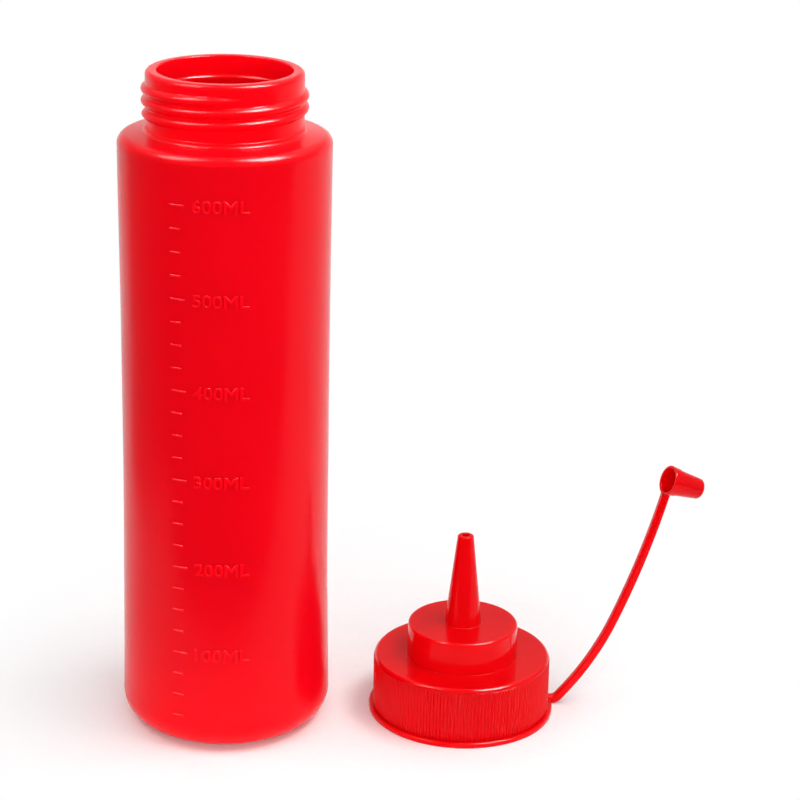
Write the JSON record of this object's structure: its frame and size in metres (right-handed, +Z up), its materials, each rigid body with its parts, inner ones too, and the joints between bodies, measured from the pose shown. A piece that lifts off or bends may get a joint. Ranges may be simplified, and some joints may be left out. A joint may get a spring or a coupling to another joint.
{
  "type": "squeeze bottle",
  "caption": "Squeeze bottle with an open threaded neck and a raised measuring scale, its ribbed screw cap with nozzle and tethered tip cover stood beside it.",
  "frame": {"origin": "centre of the bottle's resting ring, on the surface that the bottle and the cap stand on", "axes": "+Z up along the bottle's axis, -Y towards the side with the measuring scale, +X towards the cap"},
  "size_m": [0.1936, 0.0701, 0.2206],
  "materials": {
    "bottle_plastic": "satin",
    "cap_plastic": "gloss"
  },
  "bodies": {
    "root": {"bottle": "bottle_plastic", "cap": "cap_plastic"}
  },
  "joints": []
}
